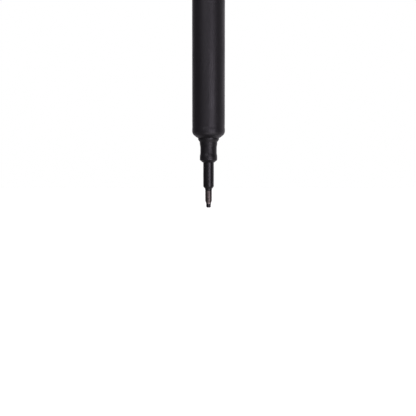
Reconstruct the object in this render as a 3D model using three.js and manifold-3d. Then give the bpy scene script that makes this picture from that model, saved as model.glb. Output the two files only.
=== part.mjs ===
// Technical pen of the pigment fineliner kind: a moulded barrel with a fibre ink reservoir, a stepped
// front end that ends in a steel pipe and a capillary nib, and a snap cap posted on the tail.
//
// Millimetres, +Z up. The pen stands upright, nib down: the writing point is the origin, and the
// pen's axis is the Z axis. The cap's pocket clip faces +X.
import * as THREE from "three";
import { mergeVertices } from "three/addons/utils/BufferGeometryUtils.js";
import Module from "manifold-3d";

// ---- driving dimensions ----

const BARREL_RADIUS = 4.76; // just behind the shoulder, where the fingers hold it
const BARREL_DRAFT = 0.0013; // radius gained per mm towards the tail, so that the moulding leaves its core
const BARREL_FRONT = 20.3; // height of the barrel's front rim above the writing point
const BARREL_TAIL = 120.2; // height of the barrel's open tail rim
const NIB_RADIUS = 0.68;
const PIPE_RADIUS = 0.975;
const CARRIER_RADIUS = 1.56; // slim sleeve that carries the pipe
const BEAD_RADIUS = 2.54; // sealing bead on the neck, which the cap's liner grips
const POST_DEPTH = 15; // from the cap's mouth to its stop ribs, which the tail rests against
const CAP_LENGTH = 42;
const CAP_RADIUS = 5.6;

// clearances
const SLIP = 0.04; // radial gap of a press or push fit, left open
const LOOSE = 0.3; // gap between faces that don't bear on each other

// facets round a turned piece
const FINE = 36;
const SMALL = 24;

// ---- making solids ----

const wasm = await Module();
wasm.setup();

// A point of a turned profile: radius, then height.
const at = (radius, height) => new THREE.Vector2(radius, height);

// Points of an arc in a turned profile, from one angle to another in degrees.
function arc(radius, height, size, from, to, steps) {
  const points = [];
  for (let i = 0; i <= steps; i++) {
    const angle = THREE.MathUtils.degToRad(from + ((to - from) * i) / steps);
    points.push(at(radius + size * Math.cos(angle), height + size * Math.sin(angle)));
  }
  return points;
}

// A profile turned about the Z axis. A profile that doesn't begin on the axis is closed on itself.
function turned(profile, facets) {
  const points = profile.flat();
  if (points[0].x > 0) points.push(points[0].clone());
  return new THREE.LatheGeometry(points, facets).rotateX(Math.PI / 2);
}

// A flat outline in X and Y, extruded upwards from one height to another.
function upright(outline, from, to, curveSegments = 8) {
  const settings = { depth: to - from, bevelEnabled: false, curveSegments };
  return new THREE.ExtrudeGeometry(outline, settings).translate(0, 0, from);
}

// A block given by its lowest and highest corner.
function block(low, high) {
  const size = high.map((value, i) => value - low[i]);
  const centre = high.map((value, i) => (value + low[i]) / 2);
  return new THREE.BoxGeometry(...size).translate(...centre);
}

// Copies of a geometry, evenly spaced round the Z axis.
function around(geometry, count) {
  return Array.from({ length: count }, (_, i) => geometry.clone().rotateZ((i * 2 * Math.PI) / count));
}

function solid(geometry) {
  const bare = geometry.clone();
  for (const name of ["normal", "uv"]) bare.deleteAttribute(name);
  const merged = mergeVertices(bare, 1e-4);
  return new wasm.Manifold(
    new wasm.Mesh({
      numProp: 3,
      vertProperties: merged.attributes.position.array,
      triVerts: new Uint32Array(merged.index.array),
    }),
  );
}

function geometryOf(made) {
  const mesh = made.getMesh();
  return new THREE.BufferGeometry()
    .setAttribute("position", new THREE.BufferAttribute(mesh.vertProperties, 3))
    .setIndex(new THREE.BufferAttribute(mesh.triVerts, 1));
}

const joined = (first, ...rest) =>
  geometryOf(rest.reduce((made, next) => made.add(solid(next)), solid(first)));
const cut = (first, ...tools) =>
  geometryOf(tools.reduce((made, tool) => made.subtract(solid(tool)), solid(first)));
const common = (first, second) => geometryOf(solid(first).intersect(solid(second)));

// ---- materials ----

const finish = (color, roughness, metalness = 0) =>
  new THREE.MeshStandardMaterial({ color, roughness, metalness });
const barrelBlack = finish(0x1b1b1d, 0.55);
const neckBlack = finish(0x19191b, 0.42);
const steel = finish(0x9a9490, 0.3, 1);
const inkedNib = finish(0x151416, 0.35);
const wick = finish(0xe4e1d8, 0.95);
const film = finish(0xd9dcdc, 0.35);
const milky = finish(0xdedbd2, 0.6);
const discGrey = finish(0x8d8f92, 0.45);

const pen = new THREE.Group();
const cap = new THREE.Group();
pen.add(cap);

function piece(name, geometry, material, group = pen) {
  const mesh = new THREE.Mesh(geometry, material);
  mesh.name = name;
  group.add(mesh);
}

// ---- nib: a plastic rod with capillary channels, ground flat where it writes, with a rounded edge ----

const NIB_BACK = 27;
const NIB_EDGE = 0.3; // rounding between the writing face and the side

const nibEdge = arc(NIB_RADIUS - NIB_EDGE, NIB_EDGE, NIB_EDGE, -90, 0, 5);
piece("nib", turned([at(0, 0), nibEdge, at(NIB_RADIUS, NIB_BACK), at(0, NIB_BACK)], SMALL), inkedNib);

// ---- nib_pipe: drawn steel tube, crimped round the nib, with a reduced tail inside the carrier ----

const PIPE_MOUTH = 1.12;
const LIP_TOP = 1.42; // the closed lip ends here, and the crimped cone begins
const CRIMP_TOP = 1.96; // where the cone meets the full diameter
const PIPE_STEP = 4.9; // where the full diameter ends and rests on the carrier
const PIPE_BACK = 10;
const PIPE_WALL = 0.11;
const TAIL_RADIUS = 0.84;
const mouthRadius = NIB_RADIUS + 0.015; // the crimp all but closes on the nib
const tailBore = TAIL_RADIUS - PIPE_WALL;

piece(
  "nib_pipe",
  turned(
    [
      at(mouthRadius, PIPE_MOUTH),
      at(mouthRadius + 0.035, PIPE_MOUTH),
      at(mouthRadius + 0.045, LIP_TOP),
      at(PIPE_RADIUS - 0.03, CRIMP_TOP - 0.1),
      at(PIPE_RADIUS, CRIMP_TOP),
      at(PIPE_RADIUS, PIPE_STEP),
      at(TAIL_RADIUS, PIPE_STEP),
      at(TAIL_RADIUS, PIPE_BACK),
      at(tailBore, PIPE_BACK),
      at(tailBore, PIPE_STEP - PIPE_WALL),
      at(PIPE_RADIUS - PIPE_WALL, PIPE_STEP - 2 * PIPE_WALL),
      at(PIPE_RADIUS - PIPE_WALL, CRIMP_TOP + 0.03),
      at(mouthRadius, LIP_TOP + 0.06),
    ],
    SMALL,
  ),
  steel,
);

// ---- nib_carrier: the slim black sleeve, its collar round the pipe and its stop flange inside the neck ----

const COLLAR_RADIUS = 1;
const CARRIER_STOP = 18.9; // front face of the flange that stops it in the mouthpiece
const CARRIER_BACK = 20.4;
const FLANGE_RADIUS = 2.0;
const pipeSocket = TAIL_RADIUS + SLIP;
const nibBore = NIB_RADIUS + SLIP;
const carrierFoot = PIPE_STEP + 0.02;

piece(
  "nib_carrier",
  turned(
    [
      at(pipeSocket, carrierFoot),
      at(COLLAR_RADIUS, carrierFoot),
      at(COLLAR_RADIUS + 0.01, 5.48),
      at(CARRIER_RADIUS - 0.03, 6.1),
      at(CARRIER_RADIUS - 0.01, 6.22),
      at(CARRIER_RADIUS, 9),
      at(CARRIER_RADIUS, CARRIER_STOP),
      at(FLANGE_RADIUS, CARRIER_STOP),
      at(FLANGE_RADIUS, CARRIER_BACK),
      at(nibBore + 0.4, CARRIER_BACK),
      at(nibBore, CARRIER_BACK - 0.6),
      at(nibBore, PIPE_BACK + 0.2),
      at(pipeSocket, PIPE_BACK + 0.2),
    ],
    FINE,
  ),
  neckBlack,
);

// ---- mouthpiece: the neck in front of the barrel, and the holder behind it for the reservoir ----

const NECK_FRONT = 13.12;
const WAIST_RADIUS = 2.39;
const STEP_RADIUS = 3.06; // short collar that fills the hole in the barrel's shoulder
const HOLDER_RADIUS = 3.84;
const HOLDER_FRONT = 21.7;
const HOLDER_BACK = 36;
const CUP_FLOOR = 30.5; // floor of the cup that takes the reservoir
const CUP_RADIUS = 3.42;
const RELAY_RADIUS = 1.6;
const relayBore = FLANGE_RADIUS + SLIP;
const carrierBore = CARRIER_RADIUS + SLIP;

const mouthpieceBody = turned(
  [
    at(carrierBore, NECK_FRONT),
    at(carrierBore + 0.06, NECK_FRONT),
    at(BEAD_RADIUS - 0.04, 13.86),
    at(BEAD_RADIUS, 13.98),
    at(BEAD_RADIUS, 14.9),
    at(WAIST_RADIUS + 0.03, 15.5),
    at(WAIST_RADIUS, 15.8),
    at(WAIST_RADIUS, 17.85),
    at(WAIST_RADIUS + 0.04, 18.1),
    at(BEAD_RADIUS - 0.01, 18.5),
    at(BEAD_RADIUS + 0.02, 19.1),
    at(STEP_RADIUS - 0.05, 19.78),
    at(STEP_RADIUS, 19.88),
    at(STEP_RADIUS, HOLDER_FRONT),
    at(HOLDER_RADIUS, HOLDER_FRONT + 0.15),
    at(HOLDER_RADIUS, HOLDER_BACK - 0.5),
    at(HOLDER_RADIUS - 0.15, HOLDER_BACK),
    at(CUP_RADIUS + 0.15, HOLDER_BACK),
    at(CUP_RADIUS, HOLDER_BACK - 0.3),
    at(CUP_RADIUS, CUP_FLOOR),
    at(relayBore, CUP_FLOOR),
    at(relayBore, CARRIER_STOP - 0.02),
    at(carrierBore, CARRIER_STOP - 0.02),
  ],
  FINE,
);
// Two air channels run down the outside of the holder, and two slots let air into the cup.
const AIR_WIDTH = 0.7;
const airChannel = block([HOLDER_RADIUS - 0.25, -AIR_WIDTH / 2, HOLDER_FRONT - 0.5], [5, AIR_WIDTH / 2, 40]);
const airSlot = block([-AIR_WIDTH / 2, relayBore - 0.3, 26], [AIR_WIDTH / 2, 5, 29]);
piece(
  "mouthpiece",
  cut(mouthpieceBody, ...around(airChannel, 2), ...around(airSlot, 2)),
  neckBlack,
);

// ---- barrel: one moulded tube with a rounded shoulder, inner ribs and a tail reduced for the cap ----

const SHOULDER_HOLE = STEP_RADIUS + 0.06;
const LIP_RADIUS = 4.78; // the shoulder's edge stands a touch proud of the side
const SINK_RADIUS = 4.73; // and the side sinks behind it, where the thick shoulder shrank
const CORNER = 1.5; // rounding between the shoulder's face and its edge
const CONE_ANGLE = 38; // of the shoulder's face, from the horizontal
const BORE_RADIUS = 3.9;
const POST_STEP = 99.5; // where the reduced tail begins
const TAIL_REDUCTION = 0.12;
const SIDE_START = 25; // from here back the side is a plain taper
const barrelRadius = (height) => BARREL_RADIUS + BARREL_DRAFT * (height - SIDE_START);
const rimRadius = SHOULDER_HOLE + 0.16;

// The corner arc starts where the cone touches it, so its centre follows from the cone's angle.
const cornerCentre = LIP_RADIUS - CORNER;
const coneSine = Math.sin(THREE.MathUtils.degToRad(CONE_ANGLE));
const coneCosine = Math.cos(THREE.MathUtils.degToRad(CONE_ANGLE));
const touchRadius = cornerCentre + CORNER * coneSine;
const touchHeight = BARREL_FRONT + ((touchRadius - rimRadius) * coneSine) / coneCosine;
const cornerHeight = touchHeight + CORNER * coneCosine;

const barrelTube = turned(
  [
    at(SHOULDER_HOLE, BARREL_FRONT + 0.12),
    at(SHOULDER_HOLE + 0.06, BARREL_FRONT),
    at(rimRadius, BARREL_FRONT),
    arc(cornerCentre, cornerHeight, CORNER, CONE_ANGLE - 90, 0, 6),
    at(LIP_RADIUS, cornerHeight + 0.6),
    at(SINK_RADIUS, cornerHeight + 1.1),
    at(BARREL_RADIUS, SIDE_START),
    at(barrelRadius(POST_STEP), POST_STEP),
    at(barrelRadius(POST_STEP) - TAIL_REDUCTION, POST_STEP + 0.35),
    at(barrelRadius(POST_STEP) - TAIL_REDUCTION, BARREL_TAIL - 0.4),
    at(barrelRadius(POST_STEP) - TAIL_REDUCTION - 0.3, BARREL_TAIL),
    at(BORE_RADIUS + 0.1, BARREL_TAIL),
    at(BORE_RADIUS, BARREL_TAIL - 0.4),
    at(BORE_RADIUS, HOLDER_FRONT + 0.1),
    at(SHOULDER_HOLE, HOLDER_FRONT - 0.05),
  ],
  FINE,
);
const RIB_WIDTH = 0.6;
const RIB_RADIUS = 3.72; // the ribs' inner faces hold the reservoir in the middle
const RIB_FRONT = 38;
const RIB_BACK = 105;
const barrelRib = block(
  [RIB_RADIUS, -RIB_WIDTH / 2, RIB_FRONT],
  [BORE_RADIUS + 0.3, RIB_WIDTH / 2, RIB_BACK],
);
piece("barrel", joined(barrelTube, ...around(barrelRib, 4)), barrelBlack);

// ---- relay_core: fibre rod that takes ink from the reservoir to the nib's tail ----

const RELAY_FRONT = 20.9;
const RELAY_BACK = 38;
const nibSocket = NIB_RADIUS + SLIP;
piece(
  "relay_core",
  turned(
    [
      at(0, NIB_BACK + SLIP),
      at(nibSocket, NIB_BACK + SLIP),
      at(nibSocket, RELAY_FRONT),
      at(RELAY_RADIUS - 0.2, RELAY_FRONT),
      at(RELAY_RADIUS, RELAY_FRONT + 0.2),
      at(RELAY_RADIUS, RELAY_BACK - 0.5),
      at(RELAY_RADIUS - 0.5, RELAY_BACK),
      at(0, RELAY_BACK),
    ],
    SMALL,
  ),
  wick,
);

// ---- reservoir: fibre core with a breather tube in its side, both inside a film sheath ----

const RESERVOIR_FRONT = 30.9;
const RESERVOIR_BACK = 106;
const SHEATH_RADIUS = 3.36;
const SHEATH_WALL = 0.1;
const CORE_RADIUS = SHEATH_RADIUS - SHEATH_WALL - SLIP;
const BREATHER_RADIUS = 0.45;
const BREATHER_BORE = 0.25;
const breatherCentre = CORE_RADIUS - BREATHER_RADIUS - 0.02;

// The core's outline is a circle with a round groove for the breather tube.
const grooveRadius = BREATHER_RADIUS + SLIP;
const grooveHalf = Math.asin(grooveRadius / CORE_RADIUS);
const coreOutline = new THREE.Shape();
coreOutline.absarc(0, 0, CORE_RADIUS, grooveHalf, 2 * Math.PI - grooveHalf, false);
coreOutline.lineTo(breatherCentre, -grooveRadius);
coreOutline.absarc(breatherCentre, 0, grooveRadius, -Math.PI / 2, Math.PI / 2, true);
const relaySocket = turned(
  [
    at(0, RESERVOIR_FRONT - 1),
    at(RELAY_RADIUS + SLIP, RESERVOIR_FRONT - 1),
    at(RELAY_RADIUS + SLIP, RELAY_BACK + SLIP),
    at(0, RELAY_BACK + SLIP),
  ],
  SMALL,
);
const coreLength = upright(coreOutline, RESERVOIR_FRONT, RESERVOIR_BACK, 18);
piece("reservoir_core", cut(coreLength, relaySocket), wick);

// A plain round tube between two heights.
const tube = (outer, inner, from, to, facets) =>
  turned([at(inner, from), at(outer, from), at(outer, to), at(inner, to)], facets);

piece(
  "reservoir_sheath",
  tube(SHEATH_RADIUS, SHEATH_RADIUS - SHEATH_WALL, RESERVOIR_FRONT - 0.2, RESERVOIR_BACK + 0.2, FINE),
  film,
);
piece(
  "breather_tube",
  tube(BREATHER_RADIUS, BREATHER_BORE, RESERVOIR_FRONT, RESERVOIR_BACK, 12).translate(breatherCentre, 0, 0),
  milky,
);

// ---- tail_plug: pressed into the barrel's tail, with a slotted skirt that holds the reservoir forward ----

const PLUG_TOP = BARREL_TAIL + 1.3;
const PLUG_FRONT = RESERVOIR_BACK + 0.6;
const plugRadius = BORE_RADIUS - SLIP;
const plugBody = turned(
  [
    at(0, BARREL_TAIL - 1.2),
    at(plugRadius - 0.9, BARREL_TAIL - 1.2),
    at(plugRadius - 0.9, PLUG_FRONT),
    at(plugRadius - 0.35, PLUG_FRONT),
    at(plugRadius - 0.25, PLUG_FRONT + 0.3),
    at(plugRadius - 0.25, PLUG_FRONT + 7),
    at(plugRadius, PLUG_FRONT + 7.3),
    at(plugRadius, BARREL_TAIL + 0.02),
    at(4.35, BARREL_TAIL + 0.02),
    at(4.4, BARREL_TAIL + 0.1),
    arc(3.9, BARREL_TAIL + 0.8, 0.5, 0, 90, 4),
    at(0, PLUG_TOP),
  ],
  FINE,
);
const skirtSlot = block([2, -0.5, PLUG_FRONT - 1], [5, 0.5, PLUG_FRONT + 5]);
piece("tail_plug", cut(plugBody, ...around(skirtSlot, 4)), barrelBlack);

// ---- cap, drawn with its mouth at height 0 and its closed end up, then posted on the tail ----

cap.position.z = PLUG_TOP - POST_DEPTH + 0.05;
const BUTTON_SEAT = 40; // height of the shell's upper rim, on which the button rests
const CAP_BORE = 4.98;

const capTube = turned(
  [
    at(CAP_BORE, 0.35),
    at(CAP_BORE + 0.2, 0),
    at(CAP_RADIUS - 0.25, 0),
    arc(CAP_RADIUS - 0.25, 0.25, 0.25, -90, 0, 3).slice(1),
    at(CAP_RADIUS, 8),
    at(CAP_RADIUS - 0.1, BUTTON_SEAT - 0.15),
    at(CAP_RADIUS - 0.25, BUTTON_SEAT),
    at(CAP_BORE, BUTTON_SEAT),
  ],
  FINE,
);
// Six ribs grip the barrel, and a deeper step on each one stops it.
const GRIP_RADIUS = 4.86;
const STOP_RADIUS = 3.5;
const STOP_LENGTH = 3;
const CAP_RIB_HALF = 0.35; // half of a rib's width
const ribBlock = (radius, from) =>
  block([radius, -CAP_RIB_HALF, from], [CAP_BORE + 0.3, CAP_RIB_HALF, POST_DEPTH + STOP_LENGTH]);
const gripRib = ribBlock(GRIP_RADIUS, 2);
const stopRib = ribBlock(STOP_RADIUS, POST_DEPTH);
// The clip's tang comes in through a notch in the upper rim.
const TANG_WIDTH = 3.6;
const NOTCH_FLOOR = 38.3;
const notch = block([3, -TANG_WIDTH / 2 - LOOSE, NOTCH_FLOOR], [7, TANG_WIDTH / 2 + LOOSE, BUTTON_SEAT + 1]);
const ribs = [...around(gripRib, 6), ...around(stopRib, 6)].map((rib) => rib.rotateZ(Math.PI / 6));
piece("cap_shell", cut(joined(capTube, ...ribs), notch), barrelBlack, cap);

// ---- cap_liner: the soft inner cup that seals on the neck's bead ----

const LINER_MOUTH = 19.6; // its lip is on the bead when the stop ribs are against the shoulder
const LINER_TOP = 38.1;
const LINER_BORE = 2.9;
piece(
  "cap_liner",
  turned(
    [
      at(0, LINER_TOP - 0.9),
      at(LINER_BORE - 0.4, LINER_TOP - 0.9),
      at(LINER_BORE, LINER_TOP - 1.3),
      at(LINER_BORE, LINER_MOUTH + 2.6),
      at(BEAD_RADIUS - 0.02, LINER_MOUTH + 2),
      at(BEAD_RADIUS - 0.02, LINER_MOUTH + 1.2),
      at(LINER_BORE + 0.1, LINER_MOUTH),
      at(LINER_BORE + 0.5, LINER_MOUTH),
      at(LINER_BORE + 0.65, LINER_MOUTH + 1.5),
      at(LINER_BORE + 0.65, LINER_TOP - 1.2),
      at(CAP_BORE - SLIP, LINER_TOP - 0.9),
      at(CAP_BORE - SLIP, LINER_TOP),
      at(0, LINER_TOP),
    ],
    FINE,
  ),
  milky,
  cap,
);

// ---- cap_button: closes the shell over the clip's tang, with vent notches so that air can pass ----

const BUTTON_STEM = 4.15;
const DISC_RADIUS = 2.6;
const DISC_DEPTH = 0.5;
const buttonBody = turned(
  [
    at(0, LINER_TOP + 0.05),
    at(BUTTON_STEM, LINER_TOP + 0.05),
    at(BUTTON_STEM, BUTTON_SEAT - 0.45),
    at(CAP_BORE - SLIP, BUTTON_SEAT - 0.45),
    at(CAP_BORE - SLIP, BUTTON_SEAT + 0.03),
    at(CAP_RADIUS - 0.3, BUTTON_SEAT + 0.03),
    at(CAP_RADIUS - 0.12, BUTTON_SEAT + 0.15),
    arc(CAP_RADIUS - 1.12, CAP_LENGTH - 1, 1, 0, 90, 5),
    at(DISC_RADIUS + SLIP, CAP_LENGTH),
    at(DISC_RADIUS + SLIP, CAP_LENGTH - DISC_DEPTH),
    at(0, CAP_LENGTH - DISC_DEPTH),
  ],
  FINE,
);
const ventNotch = block([CAP_BORE - 1.1, -0.6, LINER_TOP - 1], [7, 0.6, BUTTON_SEAT + 0.35]);
piece(
  "cap_button",
  cut(buttonBody, ...around(ventNotch, 3).map((vent) => vent.rotateZ(Math.PI / 3))),
  barrelBlack,
  cap,
);

// ---- width_disc: the small inset in the button that carries the line width by its colour ----

piece(
  "width_disc",
  turned(
    [
      at(0, CAP_LENGTH - DISC_DEPTH + 0.02),
      at(DISC_RADIUS, CAP_LENGTH - DISC_DEPTH + 0.02),
      at(DISC_RADIUS, CAP_LENGTH - 0.05),
      at(DISC_RADIUS - 0.05, CAP_LENGTH),
      at(0, CAP_LENGTH),
    ],
    SMALL,
  ),
  discGrey,
  cap,
);

// ---- cap_clip: a bent strip of spring steel, made where its side and front outlines cross ----

const CLIP_THICKNESS = 0.5;
const CLIP_GAP = 1.0; // room for cloth between the arm and the shell
const CLIP_END = 7; // height of the free end above the cap's mouth
const armInner = CAP_RADIUS + CLIP_GAP;
const armOuter = armInner + CLIP_THICKNESS;
const tangLow = NOTCH_FLOOR + 0.35;
const tangHigh = tangLow + CLIP_THICKNESS;
const bend = 0.9; // outer radius of the bend over the shell's edge

// Side outline, with X outwards from the axis and Y along the cap.
const side = new THREE.Shape();
side.moveTo(BUTTON_STEM + 0.3, tangLow);
side.lineTo(armInner - 0.4, tangLow);
side.absarc(armInner - 0.4, tangLow - 0.4, 0.4, Math.PI / 2, 0, true);
side.lineTo(armInner, CLIP_END + 5);
side.lineTo(CAP_RADIUS + 0.12, CLIP_END + 2.4);
side.lineTo(CAP_RADIUS + 0.12, CLIP_END + 1.9);
side.lineTo(armInner - 0.1, CLIP_END);
side.lineTo(armOuter, CLIP_END + 0.15);
side.lineTo(CAP_RADIUS + 0.12 + CLIP_THICKNESS, CLIP_END + 2.15);
side.lineTo(armOuter, CLIP_END + 5);
side.lineTo(armOuter, tangHigh - bend);
side.absarc(armOuter - bend, tangHigh - bend, bend, 0, Math.PI / 2, false);
side.lineTo(BUTTON_STEM + 0.3, tangHigh);
const strip = new THREE.ExtrudeGeometry(side, { depth: 6, bevelEnabled: false, curveSegments: 5 })
  .translate(0, 0, -3)
  .rotateX(Math.PI / 2);

// Front outline, with X across the clip and Y along the cap: it narrows to a round free end.
const TIP_WIDTH = 3;
const front = new THREE.Shape();
front.moveTo(-TANG_WIDTH / 2, BUTTON_SEAT);
front.lineTo(-TANG_WIDTH / 2, tangLow - 1);
front.lineTo(-TIP_WIDTH / 2, CLIP_END + TIP_WIDTH / 2);
front.absarc(0, CLIP_END + TIP_WIDTH / 2, TIP_WIDTH / 2, Math.PI, 2 * Math.PI, false);
front.lineTo(TANG_WIDTH / 2, tangLow - 1);
front.lineTo(TANG_WIDTH / 2, BUTTON_SEAT);
const blank = new THREE.ExtrudeGeometry(front, { depth: 6, bevelEnabled: false, curveSegments: 6 })
  .rotateX(Math.PI / 2)
  .rotateZ(Math.PI / 2)
  .translate(3, 0, 0);
piece("cap_clip", common(strip, blank), steel, cap);

export default pen;
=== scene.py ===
"""A technical pen of the pigment fineliner kind, upright on its nib, with its cap posted on the tail."""
import math

import bmesh
import bpy
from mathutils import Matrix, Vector


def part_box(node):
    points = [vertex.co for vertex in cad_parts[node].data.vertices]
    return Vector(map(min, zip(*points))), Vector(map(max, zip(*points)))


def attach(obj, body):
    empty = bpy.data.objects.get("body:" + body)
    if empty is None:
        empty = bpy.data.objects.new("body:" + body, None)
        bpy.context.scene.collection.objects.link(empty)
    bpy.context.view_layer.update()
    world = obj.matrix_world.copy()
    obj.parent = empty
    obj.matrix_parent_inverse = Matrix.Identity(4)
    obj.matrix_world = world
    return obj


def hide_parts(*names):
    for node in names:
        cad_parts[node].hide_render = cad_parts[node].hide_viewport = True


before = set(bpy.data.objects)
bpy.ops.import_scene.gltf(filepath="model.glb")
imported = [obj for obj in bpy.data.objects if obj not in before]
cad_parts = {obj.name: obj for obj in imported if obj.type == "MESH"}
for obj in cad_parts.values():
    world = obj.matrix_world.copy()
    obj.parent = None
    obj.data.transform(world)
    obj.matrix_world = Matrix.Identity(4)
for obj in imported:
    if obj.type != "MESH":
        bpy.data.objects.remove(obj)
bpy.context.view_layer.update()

# ---- nib ----
# A rod of hard black plastic with capillary channels down its middle, ground flat where it writes and
# rounded at the edge. It is pushed through the pipe and the carrier into the relay core.

MM = 0.001
SAME_PLACE = 0.002  # millimetres within which two points count as one


def span(node):
    """A turned node's radius and its lowest and highest point, in millimetres."""
    low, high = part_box(node)
    return high.y / MM, low.z / MM, high.z / MM


def select_rings(piece, rings):
    """In edit mode, selects the edges that run round the pen at each (radius, height)."""
    bpy.ops.mesh.select_mode(type="EDGE")
    bpy.ops.mesh.select_all(action="DESELECT")
    mesh = bmesh.from_edit_mesh(piece.data)
    lift = piece.location.z / MM
    for edge in mesh.edges:
        for radius, height in rings:
            on_ring = [
                abs(math.hypot(v.co.x, v.co.y) / MM - radius) < SAME_PLACE
                and abs(v.co.z / MM + lift - height) < SAME_PLACE
                for v in edge.verts
            ]
            if all(on_ring):
                edge.select_set(True)
    bmesh.update_edit_mesh(piece.data)


def turned(name, rings, facets=96, hollow=False):
    """Draws a circle along the pen's axis from one (radius, height) in millimetres to the next.
    A hollow piece's last ring is joined to its first, and a solid one's two ends are closed."""
    bpy.ops.object.select_all(action="DESELECT")
    radius, height = rings[0]
    bpy.ops.mesh.primitive_circle_add(vertices=facets, radius=radius * MM, location=(0, 0, height * MM))
    piece = bpy.context.object
    piece.name = name
    piece.data.name = name
    bpy.ops.object.mode_set(mode="EDIT")
    bpy.ops.mesh.select_mode(type="EDGE")
    for next_radius, next_height in rings[1:]:
        move = (0, 0, (next_height - height) * MM)
        bpy.ops.mesh.extrude_region_move(TRANSFORM_OT_translate={"value": move})
        ratio = next_radius / radius
        bpy.ops.transform.resize(value=(ratio, ratio, 1), center_override=(0, 0, next_height * MM))
        radius, height = next_radius, next_height
    bpy.ops.mesh.select_all(action="DESELECT")
    bpy.ops.mesh.select_non_manifold(extend=False)
    if hollow:
        bpy.ops.mesh.bridge_edge_loops()
    else:
        bpy.ops.mesh.fill_holes(sides=0)
        bpy.ops.mesh.select_mode(type="FACE")
        bpy.ops.mesh.select_all(action="SELECT")
        bpy.ops.mesh.select_face_by_sides(number=4, type="GREATER", extend=False)
        bpy.ops.mesh.poke()
    bpy.ops.mesh.select_all(action="SELECT")
    bpy.ops.mesh.normals_make_consistent(inside=False)
    return piece


def rounded(piece, size, *rings, steps=3):
    """In edit mode, rounds the sharp rings at these places. Size is how far the rounding reaches."""
    select_rings(piece, rings)
    bpy.ops.mesh.bevel(offset=size * MM, segments=steps, affect="EDGES", clamp_overlap=True)


def combine(piece, tool, operation):
    """Cuts a tool out of a piece, or joins it to the piece, and removes the tool."""
    bpy.context.view_layer.objects.active = piece
    change = piece.modifiers.new("change", "BOOLEAN")
    change.operation = operation
    change.solver = "EXACT"
    change.object = tool
    bpy.ops.object.modifier_apply(modifier=change.name)
    bpy.data.objects.remove(tool)


def cut_away(piece, boxes, operation="DIFFERENCE"):
    """Cuts blocks out of a piece, or joins them to it. Each block is a (low, high) pair of corners in
    millimetres and an angle in degrees that it is turned round the pen."""
    bpy.ops.object.mode_set(mode="OBJECT")
    for low, high, turn in boxes:
        bpy.ops.object.select_all(action="DESELECT")
        middle = (Vector(low) + Vector(high)) / 2 * MM
        size = (Vector(high) - Vector(low)) * MM
        bpy.ops.mesh.primitive_cube_add(size=1, location=middle)
        block = bpy.context.object
        block.scale = size
        bpy.ops.object.transform_apply(location=True, rotation=True, scale=True)
        block.rotation_euler.z = math.radians(turn)
        combine(piece, block, operation)


def finished(piece, body, slot, material, *nodes, smooth=30):
    """Leaves edit mode, settles the piece at the origin, and gives it its finish and its place. Edges
    that turn by less than smooth, in degrees, are shaded as one surface."""
    bpy.ops.object.mode_set(mode="OBJECT")
    bpy.ops.object.select_all(action="DESELECT")
    piece.select_set(True)
    bpy.context.view_layer.objects.active = piece
    bpy.ops.object.transform_apply(location=True, rotation=True, scale=True)
    bpy.ops.object.shade_smooth_by_angle(angle=math.radians(smooth))
    piece.data.materials.clear()
    piece.data.materials.append(material)
    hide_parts(*nodes)
    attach(piece, body)


def group(name, takes, gives):
    """A shader node group with number inputs {name: default} and number outputs."""
    tree = bpy.data.node_groups.new(name, "ShaderNodeTree")
    for title, value in takes.items():
        tree.interface.new_socket(title, in_out="INPUT", socket_type="NodeSocketFloat").default_value = value
    for title in gives:
        tree.interface.new_socket(title, in_out="OUTPUT", socket_type="NodeSocketFloat")
    return tree, tree.nodes.new("NodeGroupInput"), tree.nodes.new("NodeGroupOutput")


def node(tree, kind, inputs=None, **settings):
    """Adds a node. Each input is a value or another node's output."""
    made = tree.nodes.new("ShaderNode" + kind)
    for title, value in settings.items():
        setattr(made, title, value)
    for title, value in (inputs or {}).items():
        if isinstance(value, bpy.types.NodeSocket):
            tree.links.new(value, made.inputs[title])
        else:
            made.inputs[title].default_value = value
    return made


def place(tree, stretch=(1, 1, 1)):
    """Coordinates in metres on the piece, stretched along each axis."""
    spot = node(tree, "TexCoord").outputs["Object"]
    return node(tree, "Mapping", {"Vector": spot, "Scale": stretch}).outputs["Vector"]


def remap(tree, value, low, high, to_low, to_high):
    inputs = {"Value": value, "From Min": low, "From Max": high, "To Min": to_low, "To Max": to_high}
    return node(tree, "MapRange", inputs).outputs["Result"]


def maths(tree, operation, first, second=0.0):
    return node(tree, "Math", {0: first, 1: second}, operation=operation).outputs[0]


def moulded_grain():
    """The fine spark-eroded texture of a mould, and broad patches where hands have rubbed it smoother."""
    tree, takes, gives = group("moulded_grain", {"Grain": 9000, "Patches": 160}, ("Height", "Polish"))
    spot = place(tree)
    fine = node(tree, "TexNoise", {"Vector": spot, "Scale": takes.outputs["Grain"], "Detail": 3})
    broad = node(tree, "TexNoise", {"Vector": spot, "Scale": takes.outputs["Patches"], "Detail": 4})
    tree.links.new(fine.outputs["Fac"], gives.inputs["Height"])
    tree.links.new(remap(tree, broad.outputs["Fac"], 0.35, 0.65, 0, 1), gives.inputs["Polish"])
    return tree


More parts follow.
